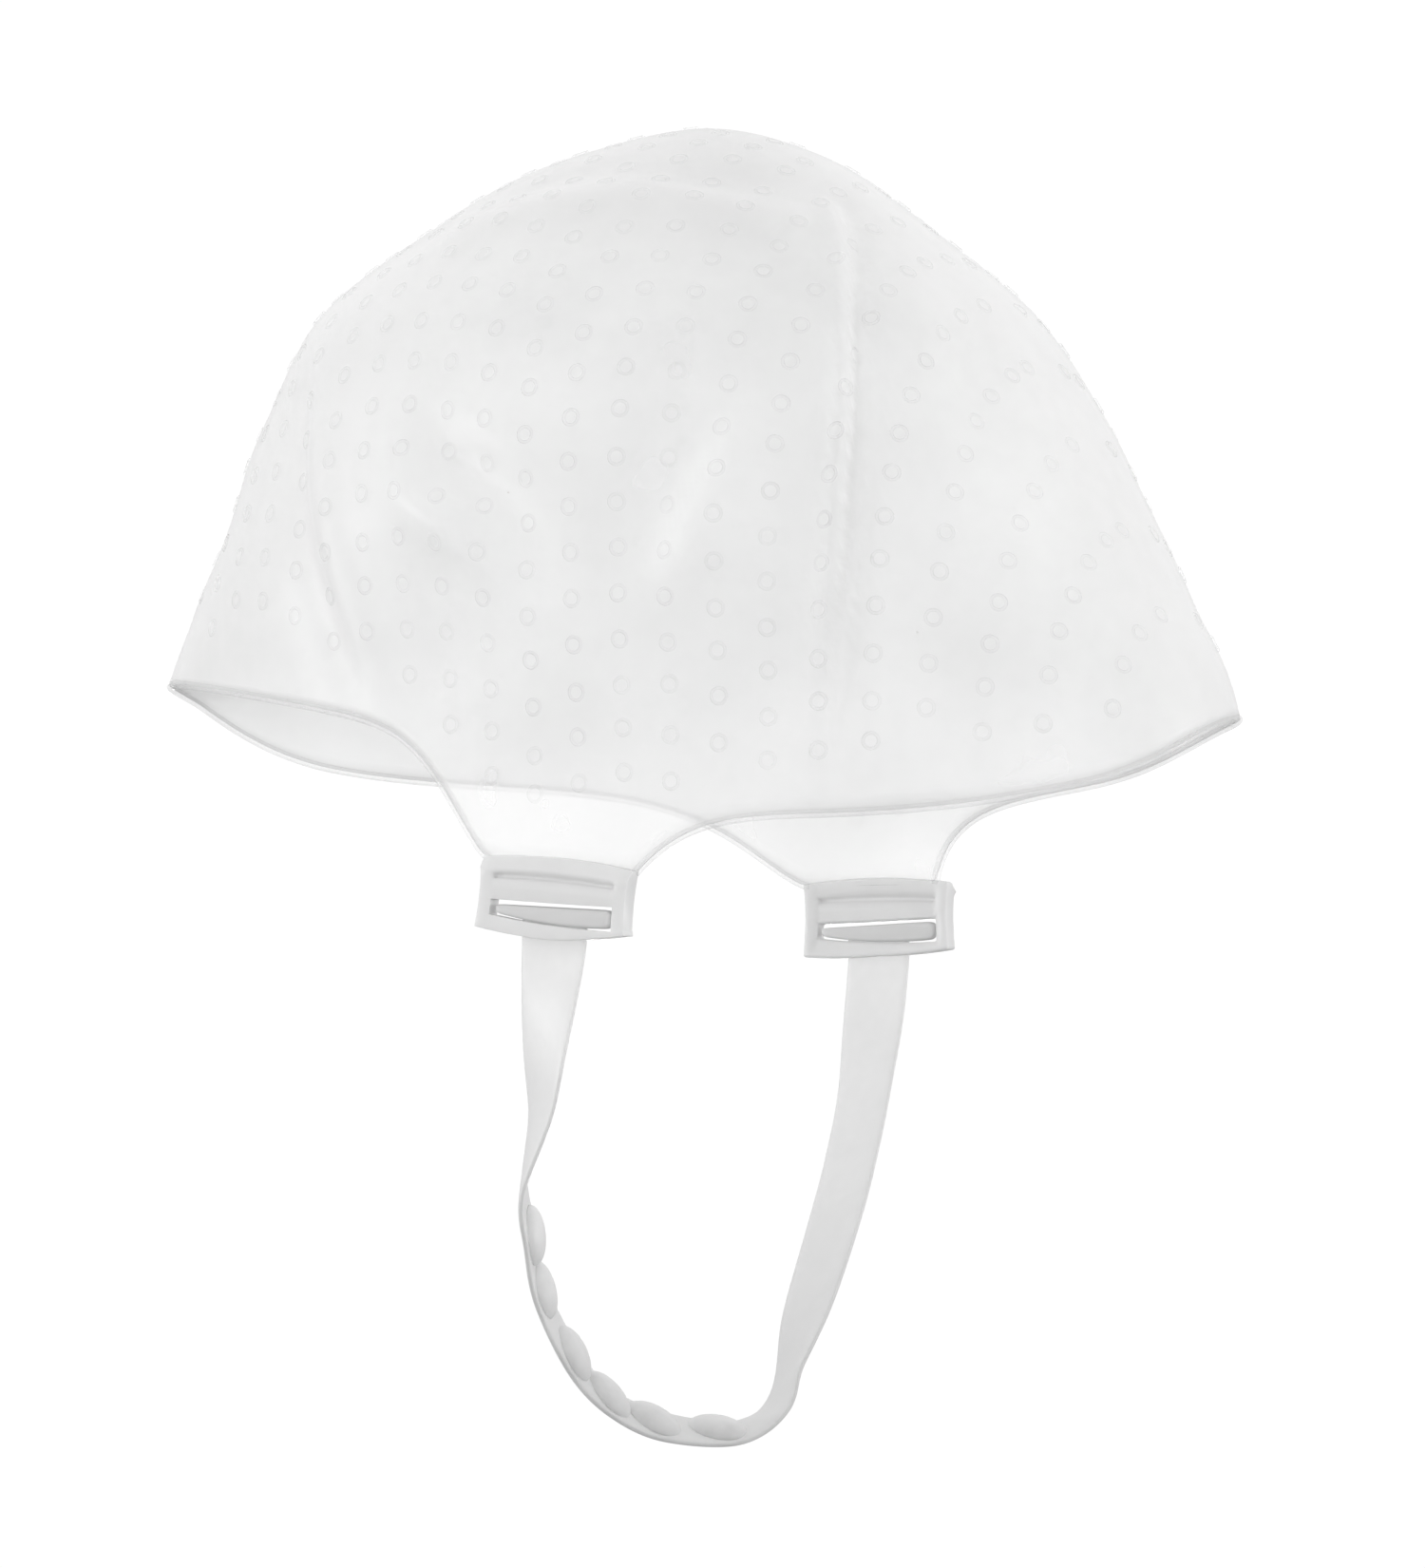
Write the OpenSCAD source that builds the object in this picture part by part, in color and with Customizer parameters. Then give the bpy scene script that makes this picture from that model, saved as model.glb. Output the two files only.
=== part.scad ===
// Highlighting cap: a soft moulded bell covered in raised pull-through rings, two ear tabs
// that end in slotted buckles, and a chin strap whose end bars sit in those buckles.
// Millimetres, +Z up. -X is the brow, +X the nape, -Y the wearer's left, +Y the right.
// The origin is the centre of the head opening.

/* [Cap] */
// Length of the head opening, brow to nape
cap_len = 248; // [240:1:256]
// Width of the head opening between the ear tabs
cap_wid = 135; // [131:1:139]
// Height of the crown above the head opening
cap_rise = 126; // [120:1:132]
// Thickness of the moulded wall
wall = 1.0; // [0.8:0.1:1.4]
// Diameter of the rounded bead that edges the rim
bead_d = 2.0; // [1.8:0.1:2.6]
// Drop of the ear tabs below the head opening
tab_drop = 31; // [30.5:0.1:31.5]
// Length over which the tabs' sides flare out into the rim
tab_flare = 13; // [11:0.5:15]

/* [Pull-through rings] */
// Outer diameter of one ring
ring_d = 4.0; // [3.4:0.1:4.6]
// Width of a ring's raised lip
ring_lip = 0.75; // [0.5:0.05:1]
// Height of a ring above the wall
ring_rise = 0.35; // [0.2:0.05:0.6]
// Spacing of the ring columns, along the head
ring_col = 10.3; // [9:0.1:12]
// Spacing of the rings down a column
ring_row = 9.3; // [8.5:0.1:12]
// Plain margin kept between the lowest rings and the rim
ring_margin = 11; // [9:1:16]

/* [Buckles] */
// Width of a buckle
buckle_w = 35.5; // [34:0.5:38]
// Height of a buckle at its middle
buckle_h = 16.8; // [16.5:0.1:18]
// Bow of a buckle's top and bottom edges
buckle_bow = 1.2; // [0.4:0.1:1.4]
// Thickness of a buckle
buckle_t = 4; // [3.6:0.1:5]
// Lean of the left buckle, nape end down
left_lean = 6; // [0:0.5:8]

/* [Chin strap] */
// Width of the strap
strap_w = 15; // [13:0.5:15.5]
// Thickness of the strap
strap_t = 1.3; // [1:0.1:1.6]
// Diameter of an adjusting pad
pad_d = 12; // [10:0.2:12.4]
// Height of an adjusting pad above the strap
pad_rise = 2.4; // [1:0.1:2.6]
// Length of the bar across each end of the strap
bar_len = 26; // [23:0.5:27]
// Height of that bar
bar_h = 3.8; // [3.2:0.1:4]
// Thickness of that bar
bar_t = 3.0; // [2.4:0.1:3.4]

/* [Hidden] */

LEFT = -1;
RIGHT = 1;
half_len = cap_len / 2;
half_wid = cap_wid / 2;

// Cross-sections of the bell from the crown down: [height, length, width] as parts of
// cap_rise, half_len and half_wid, then how far the section's centre sits towards the nape.
SECTIONS = [
    [1.000, 0.000, 0.000, 1.5],
    [0.953, 0.200, 0.330, 0],
    [0.861, 0.400, 0.620, -4.5],
    [0.690, 0.625, 0.920, -6.5],
    [0.508, 0.753, 1.035, -5],
    [0.357, 0.829, 1.065, -4],
    [0.198, 0.919, 1.045, -3],
    [0.000, 1.000, 1.000, 0],
    [-0.400, 1.030, 1.000, 1]
];
last_u = len(SECTIONS) - 1;
// Height of the soft, wavy rim every 30 degrees round the plan, from the nape by the right side.
RIM_HEIGHTS = [-2, -1, -10.3, -11.5, -9.5, -4.5, 9, 10.5, 4, -8, -19.5, -15];
// How each tab's brow and nape sides flare: [length as a part of tab_flare, power of the curve]
FLARES_LEFT = [[1, 1.6], [1.3, 1]];
FLARES_RIGHT = [[1.7, 1.5], [0.58, 0.7]];

// Where the buckles and the strap's pivots sit
tab_x = 5.2;
buckle_z = -37.8;
tab_half = buckle_w / 2 - 1.2;
// How much further in the right tab's nape side starts
right_inset = 3;
slot_len = 29.6;
groove = [3.2, 4.6];
groove_deep = 1.2;
slot_low = [-6.2, -0.6];
bar_z = -3.4;
neck_low = -9.2;
channel_w = 17.4;
channel_t = 2.0;

// The strap's centre line from the right buckle down, round under the chin and up to the
// left buckle: [x, y, z, turn of the strap's width away from the head's length, in degrees].
STRAP_ROUTE = [
    [5, 67.5, -48.2, 2], [4.2, 66.5, -61, 4], [5.5, 60.6, -75, 14], [8.1, 50.1, -89.3, 15],
    [10.3, 39.2, -102.5, 14], [12.8, 23.2, -121.3, 19], [13.2, 13.2, -136.5, 39],
    [12.7, 3.5, -144.1, 14], [8.6, -8.1, -147, -18], [0.4, -20.9, -144.9, -38],
    [-4.5, -31.3, -139.6, -52], [-7.4, -40.7, -130.8, -64], [-10, -48.8, -117.5, -66],
    [-9, -54.5, -106.2, -67], [-7.6, -59.2, -96.3, -64], [-2, -62.9, -82.7, -48],
    [2, -67, -68.8, -26], [4.6, -67.5, -48.2, 0]
];
// The pads sit on these points of the route
FIRST_PAD = 8;
LAST_PAD = 13;
// The strap's ends are rounded to this radius, so that it swings clear of the buckles
end_r = 4;

// Numbers of steps in the swept and lofted surfaces
plan_steps = 96;
drop_steps = 22;
bead_steps = 66;
bead_sides = 8;
strap_steps = 4;

// ---- Curves ----

// Point at t (0 to 1) between b and c, on the smooth curve through a, b, c, d
function smooth(a, b, c, d, t) =
    b + t / 2 * ((c - a) + t * ((2 * a - 5 * b + 4 * c - d) + t * (3 * b - a - 3 * c + d)));

function unit(v) = v / norm(v);

// ---- Bell surface: u runs from the crown (0) down, p is the plan angle from the nape ----

function section_row(i) =
    i < 0 ? [SECTIONS[1][0], -SECTIONS[1][1], -SECTIONS[1][2], SECTIONS[1][3]]
    : i > last_u ? 2 * SECTIONS[last_u] - SECTIONS[last_u - 1]
    : SECTIONS[i];

function section(u) =
    let (i = min(floor(u), last_u - 1))
    smooth(section_row(i - 1), section_row(i), section_row(i + 1), section_row(i + 2), u - i);

U_BY_HEIGHT = [for (u = [last_u:-0.05:0]) [section(u)[0] * cap_rise, u]];

// How much the lowest part of the bell springs out at the brow and draws in at the nape
function spring(u, p) =
    1 + (cos(p) < 0 ? 0.05 : -0.015) * pow(cos(p), 2) * pow(max(u - 6, 0), 1.5);

function bell_point(u, p) =
    let (s = section(u))
    [s[3] + half_len * s[1] * cos(p) * spring(u, p), half_wid * s[2] * sin(p), cap_rise * s[0]];

function outward(u, p) =
    unit(cross(bell_point(u + 0.02, p) - bell_point(u - 0.02, p),
               bell_point(u, p + 0.5) - bell_point(u, p - 0.5)));

// ---- Rim and ear tabs ----

function rim_row(i) = RIM_HEIGHTS[(i + 12) % 12];

function plain_rim(p) =
    let (turn = (p % 360 + 360) % 360 / 30, i = floor(turn))
    smooth(rim_row(i - 1), rim_row(i), rim_row(i + 1), rim_row(i + 2), turn - i);

// Share of the tab's drop that the rim takes at x, on the side of the head that LEFT or RIGHT names
function tab_share(x, side) =
    let (nape = x > tab_x ? 1 : 0,
         beyond = abs(x - tab_x) - tab_half + (side == RIGHT ? nape * right_inset : 0),
         flare = side == LEFT ? FLARES_LEFT[nape] : FLARES_RIGHT[nape])
    beyond <= 0 ? 1 : exp(-pow(beyond / (tab_flare * flare[0]), flare[1]));

function rim_height(p) =
    let (x = half_len * cos(p),
         lean = sin(p) < 0 ? (x - tab_x) * tan(left_lean) : 0)
    plain_rim(p) + tab_share(x, sin(p) < 0 ? LEFT : RIGHT) * (-tab_drop - lean - plain_rim(p));

function rim_u(p) = lookup(rim_height(p), U_BY_HEIGHT);

// Plan angle of step i, with the steps drawn closer together round the ear tabs
function plan_angle(i) =
    let (even = 360 * i / plan_steps)
    even + 18 * sin(2 * even);

// ---- Solids from rings of points ----

// Closed solid through a list of rings, which all have the same number of points; the two
// ends run together at the points first and last.
module loft(rings, first, last) {
    n = len(rings[0]);
    m = len(rings);
    function at(r, k) = 1 + r * n + k % n;
    points = concat([first], [for (ring = rings) each ring], [last]);
    faces = concat(
        [for (k = [0:n - 1]) [0, at(0, k), at(0, k + 1)]],
        [for (r = [0:m - 2], k = [0:n - 1], half = [0, 1])
            half == 0 ? [at(r, k), at(r + 1, k), at(r + 1, k + 1)]
                      : [at(r, k), at(r + 1, k + 1), at(r, k + 1)]],
        [for (k = [0:n - 1]) [m * n + 1, at(m - 1, k + 1), at(m - 1, k)]]);
    polyhedron(points, faces, convexity = 10);
}

// Turns the child's +Z to the direction d, at the point p
module stand_on(p, d) {
    translate(p) rotate([0, acos(d[2]), atan2(d[1], d[0])]) children();
}

// ---- Cap ----

function shell_ring(share, depth) =
    [for (i = [0:plan_steps - 1])
        let (p = plan_angle(i), u = rim_u(p) * share)
        bell_point(u, p) - depth * outward(u, p)];

module cap_shell() {
    crown = bell_point(0, 0);
    color("whitesmoke")
        loft(concat([for (k = [1:drop_steps]) shell_ring(k / drop_steps, 0)],
                    [for (k = [drop_steps:-1:1]) shell_ring(k / drop_steps, wall)]),
             crown, crown - [0, 0, wall]);
}

function rim_point(p) = bell_point(rim_u(p), p) - wall / 2 * outward(rim_u(p), p);

function bead_ring(p) =
    let (run = unit(rim_point(p + 0.3) - rim_point(p - 0.3)),
         out = unit(outward(rim_u(p), p) - run * (outward(rim_u(p), p) * run)),
         side = cross(run, out))
    [for (k = [0:bead_sides - 1])
        let (a = 360 * k / bead_sides)
        rim_point(p) + bead_d / 2 * (cos(a) * out + sin(a) * side)];

// Bead along the rim from plan angle p0 to p1
module rim_bead(p0, p1) {
    angles = [for (k = [0:bead_steps]) p0 + (p1 - p0) * (0.5 - 0.5 * cos(180 * k / bead_steps))];
    loft([for (p = angles) bead_ring(p)], rim_point(p0), rim_point(p1));
}

// Plan angles of the tabs' brow corners, of the left tab's nape corner and of the right tab's
brow_corner = acos((tab_x - tab_half) / half_len);
left_nape_corner = acos((tab_x + tab_half) / half_len);
right_nape_corner = acos((tab_x + tab_half - right_inset) / half_len);

module front_rim_bead() {
    color("white") rim_bead(brow_corner, 360 - brow_corner);
}

module nape_rim_bead() {
    color("white") rim_bead(-left_nape_corner, right_nape_corner);
}

// ---- Pull-through rings: columns across the head, evenly spaced down both faces ----

// Points of the bell's section at x, from the ridge down: [height, out from the ridge, u, p]
function column(x) =
    [for (u = [0.04:0.04:last_u])
        let (s = section(u), c = (x - s[3]) / (half_len * s[1]))
        if (abs(c) < 1) [cap_rise * s[0], half_wid * s[2] * sin(acos(c)), u, acos(c)]];

// [distance down the column from the ridge, index] for each of its points
function column_lengths(pts) =
    [for (k = 0, run = pts[0][1]; k < len(pts);
          k = k + 1, run = k < len(pts) ? run + step_length(pts[k - 1], pts[k]) : run)
        [run, k]];

function step_length(a, b) = norm([b[0] - a[0], b[1] - a[1]]);

module ring() {
    difference() {
        cylinder(d = ring_d, h = ring_rise + 0.1, $fn = 24);
        translate([0, 0, -1]) cylinder(d = ring_d - 2 * ring_lip, h = ring_rise + 2, $fn = 24);
    }
}

module pull_through_rings() {
    cols = floor((half_len - 8) / ring_col);
    color("white")
    for (i = [-cols:cols]) {
        pts = column(i * ring_col);
        lengths = column_lengths(pts);
        reach = lengths[len(lengths) - 1][0];
        for (side = [LEFT, RIGHT], j = [0:floor(reach / ring_row) - 1]) {
            k = round(lookup((j + 0.5 + (abs(i) % 2) / 2) * ring_row, lengths));
            u = pts[k][2];
            p = side * pts[k][3];
            if (pts[k][0] > rim_height(p) + ring_margin)
                stand_on(bell_point(u, p) - 0.1 * outward(u, p), outward(u, p)) ring();
        }
    }
}

// ---- Buckles ----

function edge_bow(x) = buckle_h / 2 - buckle_bow * pow(2 * x / buckle_w, 2);

module buckle_outline() {
    xs = [for (k = [0:12]) buckle_w * (k / 12 - 0.5)];
    polygon(concat([for (x = xs) [x, edge_bow(x)]],
                   [for (k = [12:-1:0]) [xs[k], -edge_bow(xs[k])]]));
}

// Block with a shallow groove across the top of both faces and an open slot below it
module buckle() {
    difference() {
        rotate([90, 0, 0]) linear_extrude(buckle_t, center = true) difference() {
            buckle_outline();
            translate([-slot_len / 2, slot_low[0]]) square([slot_len, slot_low[1] - slot_low[0]]);
        }
        for (face = [-1, 1])
            translate([-slot_len / 2, face * buckle_t / 2 - groove_deep, groove[0]])
                cube([slot_len, 2 * groove_deep, groove[1] - groove[0]]);
        translate([-channel_w / 2, -channel_t / 2, -buckle_h])
            cube([channel_w, channel_t, buckle_h + slot_low[0] + 1]);
    }
}

module left_buckle() {
    color("gainsboro") at_buckle(LEFT) buckle();
}

module right_buckle() {
    color("gainsboro") at_buckle(RIGHT) buckle();
}

// Puts the child where the buckle on that side is, with that buckle's lean
module at_buckle(side) {
    translate([tab_x, side * half_wid, buckle_z])
        rotate([0, side == LEFT ? left_lean : 0, 0]) children();
}

// ---- Chin strap ----

// Bar across the strap's end, lying in the buckle's lower slot, with the neck that goes
// down through the channel in the buckle's bottom rail
module strap_bar() {
    round_r = bar_h / 2;
    translate([0, 0, bar_z]) rotate([90, 0, 0]) linear_extrude(bar_t, center = true) {
        square([bar_len - bar_h, bar_h], center = true);
        for (end = [-1, 1]) translate([end * (bar_len / 2 - round_r), 0]) circle(round_r, $fn = 32);
    }
    translate([-strap_w / 2, -strap_t / 2, neck_low]) cube([strap_w, strap_t, bar_z - neck_low]);
}

module left_strap_bar() {
    color("white") at_buckle(LEFT) strap_bar();
}

module right_strap_bar() {
    color("white") at_buckle(RIGHT) strap_bar();
}

last_stop = len(STRAP_ROUTE) - 1;

function stop_row(i) =
    i < 0 ? 2 * STRAP_ROUTE[0] - STRAP_ROUTE[1]
    : i > last_stop ? 2 * STRAP_ROUTE[last_stop] - STRAP_ROUTE[last_stop - 1]
    : STRAP_ROUTE[i];

function strap_at(v) =
    let (i = min(floor(v), last_stop - 1))
    smooth(stop_row(i - 1), stop_row(i), stop_row(i + 1), stop_row(i + 2), v - i);

function spot(v) = [strap_at(v)[0], strap_at(v)[1], strap_at(v)[2]];

// Directions at v along the strap: [along, across its width, out of its inner face]
function strap_frame(v) =
    let (along = unit(spot(v + 0.05) - spot(v - 0.05)),
         level = unit([1, 0, 0] - along * along[0]),
         turn = strap_at(v)[3],
         across = cos(turn) * level + sin(turn) * cross(along, level))
    [along, across, cross(along, across)];

// Half the strap's width at a height of d below its rounded top
function half_width(d) =
    d < end_r ? sqrt(pow(end_r, 2) - pow(end_r - d, 2)) + 0.4
    : min(strap_w / 2, end_r + 0.4 + (d - end_r));

function strap_ring(v) =
    let (f = strap_frame(v), c = spot(v),
         top = v < last_stop / 2 ? STRAP_ROUTE[0][2] : STRAP_ROUTE[last_stop][2],
         w = half_width(max(0, top - c[2])))
    [for (corner = [[1, 1], [1, -1], [-1, -1], [-1, 1]])
        c + corner[0] * w * f[1] + corner[1] * strap_t / 2 * f[2]];

module chin_strap() {
    // The rounded ends take closer steps than the rest
    ends = [0, 0.03, 0.08, 0.16, 0.3, 0.45, 0.6, 0.8];
    stops = concat(ends,
                   [for (k = [strap_steps:strap_steps * (last_stop - 1)]) k / strap_steps],
                   [for (k = [7:-1:0]) last_stop - ends[k]]);
    color("white") loft([for (v = stops) strap_ring(v)], spot(0), spot(last_stop));
}

module strap_pads() {
    r = pad_d / 2;
    color("white")
    for (v = [FIRST_PAD:LAST_PAD])
        stand_on(spot(v) + (strap_t / 2 - 0.1) * strap_frame(v)[2], strap_frame(v)[2])
            rotate_extrude($fn = 32)
                polygon(concat([[0, 0]],
                               [for (a = [0:15:90]) [r * cos(a), (pad_rise + 0.1) * sin(a)]]));
}

cap_shell();
front_rim_bead();
nape_rim_bead();
pull_through_rings();
left_buckle();
right_buckle();
left_strap_bar();
right_strap_bar();
chin_strap();
strap_pads();
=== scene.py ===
"""Looks of a highlighting cap: a clear silicone bell with rings, rim beads, buckles and a chin strap.

Metres, +Z up. -X is the brow, +X the nape, -Y the wearer's left, +Y the right. The origin is the centre
of the head opening.
"""

import logging
import math
from collections.abc import Callable, Sequence
from dataclasses import dataclass, field
from enum import Enum
from functools import cached_property

import bmesh
import bpy
import numpy as np
from mathutils import Matrix, Vector


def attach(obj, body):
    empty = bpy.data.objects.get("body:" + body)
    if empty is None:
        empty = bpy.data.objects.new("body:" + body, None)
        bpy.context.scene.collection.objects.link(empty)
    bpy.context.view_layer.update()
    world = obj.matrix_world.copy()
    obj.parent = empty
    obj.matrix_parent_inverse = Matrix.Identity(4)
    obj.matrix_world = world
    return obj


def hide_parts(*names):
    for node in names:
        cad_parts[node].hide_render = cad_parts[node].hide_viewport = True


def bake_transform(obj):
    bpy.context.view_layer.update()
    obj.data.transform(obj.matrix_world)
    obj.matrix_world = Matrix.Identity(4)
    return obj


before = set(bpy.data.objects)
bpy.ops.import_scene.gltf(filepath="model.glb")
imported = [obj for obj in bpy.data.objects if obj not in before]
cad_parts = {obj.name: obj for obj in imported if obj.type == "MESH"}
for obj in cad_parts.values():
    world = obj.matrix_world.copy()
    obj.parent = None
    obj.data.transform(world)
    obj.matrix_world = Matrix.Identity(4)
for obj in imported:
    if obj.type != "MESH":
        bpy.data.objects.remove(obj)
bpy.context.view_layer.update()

MM = 0.001
# Points closer than this are one point
WELD = 1e-7
log = logging.getLogger("highlighting_cap")


class Side(Enum):
    """The wearer's two sides, by the sign of their Y."""

    LEFT = -1
    RIGHT = 1


class Body(Enum):
    """Bodies of the frame that the pieces ride on."""

    CAP = "cap"
    LEFT_BAR = "left_bar"
    RIGHT_BAR = "right_bar"
    STRAP = "strap"


class Slot(Enum):
    """Material slots of the record."""

    CAP = "cap_silicone"
    BUCKLE = "buckle_silicone"
    STRAP = "strap_silicone"


# ---- Finishes ----


def linear(colour: str) -> tuple[float, float, float, float]:
    """Turns an sRGB hex colour into linear RGBA.

    Args:
        colour: six hex digits, such as "e9eceb".

    Returns:
        The linear red, green, blue and an alpha of 1.
    """
    parts = [int(colour[i:i + 2], 16) / 255 for i in (0, 2, 4)]
    red, green, blue = [c / 12.92 if c <= 0.04045 else ((c + 0.055) / 1.055) ** 2.4 for c in parts]
    return red, green, blue, 1.0


def add(tree: bpy.types.NodeTree, kind: str, inputs: dict | None = None,
        **settings: object) -> bpy.types.Node:
    """Adds a node with its settings, and sets or links its inputs.

    Args:
        tree: the node tree that gets the node.
        kind: the node's type name, without its ShaderNode prefix.
        inputs: values or output sockets, by input name or number.
        settings: the node's own properties.

    Returns:
        The new node.
    """
    made = tree.nodes.new("ShaderNode" + kind)
    for name, value in settings.items():
        setattr(made, name, value)
    for key, value in (inputs or {}).items():
        if isinstance(value, bpy.types.NodeSocket):
            tree.links.new(value, made.inputs[key])
        else:
            made.inputs[key].default_value = value
    return made


@dataclass(frozen=True)
class Silicone:
    """Clear or milky liquid silicone rubber, injection moulded, IOR 1.41.

    It gives the eye a soft, slightly cloudy film: white shows through one wall, greyer where two walls
    overlap, and greyer again where the wall turns edge-on and is looked through the long way.
    """

    name: str
    tint: str
    haze: float
    roughness: float = 0.42
    # Size of the soft clouds that uneven wall thickness gives, and how strong they are
    cloud: float = 34 * MM
    cloud_share: float = 0.3
    # Size of the satin grain that the blasted mould leaves
    grain: float = 0.9 * MM
    grain_depth: float = 0.012 * MM
    # Distance between dust specks that the tacky surface has picked up, and their radius; 0 for none
    dust_gap: float = 0.0
    dust_radius: float = 0.28 * MM
    dust_colour: str = "77726c"
    subsurface: float = 0.0
    # The way through grows longer as the wall turns edge-on, down to this cosine
    edge_on: float = 0.16

    def material(self) -> bpy.types.Material:
        """Builds the material.

        Returns:
            A node material with the film's haze as its alpha, or an opaque one where haze is 1.
        """
        made = bpy.data.materials.new(self.name)
        made.use_nodes = True
        tree = made.node_tree
        tree.nodes.clear()
        place = add(tree, "TexCoord").outputs["Object"]
        clouds = add(tree, "TexNoise", {"Vector": place, "Scale": 1 / self.cloud, "Detail": 3.0,
                                        "Roughness": 0.45})
        grain = add(tree, "TexNoise", {"Vector": place, "Scale": 1 / self.grain, "Detail": 2.0})
        bump = add(tree, "Bump", {"Height": grain.outputs["Fac"], "Strength": 0.6,
                                  "Distance": self.grain_depth})
        tone = add(tree, "Mix", {"Factor": clouds.outputs["Fac"], 6: self.shade(1.03),
                                 7: self.shade(0.95)}, data_type="RGBA")
        shader = add(tree, "BsdfPrincipled",
                     {"Base Color": tone.outputs[2], "Roughness": self.roughness, "IOR": 1.41,
                      "Normal": bump.outputs["Normal"]})
        if self.subsurface:
            shader.inputs["Subsurface Weight"].default_value = self.subsurface
            shader.inputs["Subsurface Radius"].default_value = (1.0, 1.0, 1.0)
            shader.inputs["Subsurface Scale"].default_value = 2.5 * MM
        if self.haze < 1:
            self._see_through(tree, shader, clouds.outputs["Fac"], place)
        out = add(tree, "OutputMaterial", {"Surface": shader.outputs["BSDF"]})
        out.is_active_output = True
        return made

    def shade(self, share: float) -> tuple[float, float, float, float]:
        """The tint, lighter or darker by this share."""
        red, green, blue, alpha = linear(self.tint)
        return min(1, red * share), min(1, green * share), min(1, blue * share), alpha

    def _see_through(self, tree: bpy.types.NodeTree, shader: bpy.types.Node,
                     clouds: bpy.types.NodeSocket, place: bpy.types.NodeSocket) -> None:
        """Links the film's haze, by the length of the way through it, and its dust.

        Args:
            tree: the material's node tree.
            shader: its Principled node.
            clouds: the cloudiness, 0 to 1.
            place: Object coordinates.
        """
        density = -math.log(1 - self.haze)
        uneven = add(tree, "MapRange", {"Value": clouds, "From Min": 0.3, "From Max": 0.7,
                                        "To Min": density * (1 - self.cloud_share),
                                        "To Max": density * (1 + self.cloud_share)})
        turned = add(tree, "LayerWeight", {"Blend": 0.5})
        square_on = add(tree, "Math", {0: 1.0, 1: turned.outputs["Facing"]}, operation="SUBTRACT")
        limited = add(tree, "Math", {0: square_on.outputs[0], 1: self.edge_on}, operation="MAXIMUM")
        depth = add(tree, "Math", {0: uneven.outputs[0], 1: limited.outputs[0]}, operation="DIVIDE")
        let_by = add(tree, "Math", {0: math.exp(-1), 1: depth.outputs[0]}, operation="POWER")
        haze = add(tree, "Math", {0: 1.0, 1: let_by.outputs[0]}, operation="SUBTRACT")
        alpha = haze.outputs[0]
        if self.dust_gap:
            cells = add(tree, "TexVoronoi", {"Vector": place, "Scale": 1 / self.dust_gap,
                                             "Randomness": 1.0})
            speck = add(tree, "Math", {0: cells.outputs["Distance"],
                                       1: self.dust_radius / self.dust_gap}, operation="LESS_THAN")
            tint = shader.inputs["Base Color"].links[0].from_socket
            dusty = add(tree, "Mix", {"Factor": speck.outputs[0], 6: tint, 7: linear(self.dust_colour)},
                        data_type="RGBA")
            tree.links.new(dusty.outputs[2], shader.inputs["Base Color"])
            alpha = add(tree, "Math", {0: alpha, 1: speck.outputs[0]}, operation="MAXIMUM").outputs[0]
        tree.links.new(alpha, shader.inputs["Alpha"])


FILM = Silicone("clear silicone film, moulded", "f6f6f6", haze=0.30, dust_gap=26 * MM)
BEAD = Silicone("clear silicone bead, moulded", "efefef", haze=0.15, cloud=20 * MM, edge_on=0.6)
RING = Silicone("clear silicone lips, moulded", "e9e9e9", haze=0.06, cloud=20 * MM, edge_on=0.3)
BLOCK = Silicone("milky silicone block, moulded", "dcdcdc", haze=1.0, cloud=9 * MM, subsurface=0.4)
RIBBON = Silicone("milky silicone ribbon, moulded", "ededed", haze=0.62, cloud=18 * MM)
PAD = Silicone("milky silicone pad, moulded", "f0f0f0", haze=0.58, cloud=8 * MM)
# The bar's tint is darker than the strap's: part its own milky grey, part painted shade of the slot that
# it lies in
BAR = Silicone("milky silicone bar, moulded", "d0d0d0", haze=1.0, cloud=8 * MM, subsurface=0.3)


# ---- Mesh helpers ----


def smooth(a: np.ndarray, b: np.ndarray, c: np.ndarray, d: np.ndarray, t: np.ndarray) -> np.ndarray:
    """Point between b and c on the smooth curve through a, b, c and d.

    Args:
        a: point before b.
        b: start of the stretch.
        c: end of the stretch.
        d: point after c.
        t: share of the way from b to c.

    Returns:
        The point, or an array of points.
    """
    return b + t / 2 * ((c - a) + t * ((2 * a - 5 * b + 4 * c - d) + t * (3 * b - a - 3 * c + d)))


def unit(v: np.ndarray) -> np.ndarray:
    """The vectors at a length of 1."""
    return v / np.maximum(np.linalg.norm(v, axis=-1, keepdims=True), 1e-12)


def squarer(share: float, power: float) -> float:
    """A sine or cosine pushed towards 1 or -1, which squares off a round section."""
    return math.copysign(abs(share) ** power, share)


def finish(bm: bmesh.types.BMesh, name: str, finish_of: Silicone, body: Body | None, slot: Slot,
           nodes: Sequence[str]) -> bpy.types.Object:
    """Makes a finished piece of a mesh and puts it on its body.

    Args:
        bm: the mesh, which is freed.
        name: the piece's name.
        finish_of: its finish.
        body: the body that it rides on, or None for a piece that is left on no body.
        slot: the record's material slot.
        nodes: CAD nodes that the piece stands for.

    Returns:
        The piece.
    """
    mesh = bpy.data.meshes.new(name)
    bm.to_mesh(mesh)
    bm.free()
    mesh.shade_smooth()
    mesh.materials.append(finish_of.material())
    piece = bpy.data.objects.new(name, mesh)
    bpy.context.scene.collection.objects.link(piece)
    if body is not None:
        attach(piece, body.value)
    if nodes:
        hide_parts(*nodes)
    log.info("%s: %d faces, %s", name, len(mesh.polygons), finish_of.name)
    return piece


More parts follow.
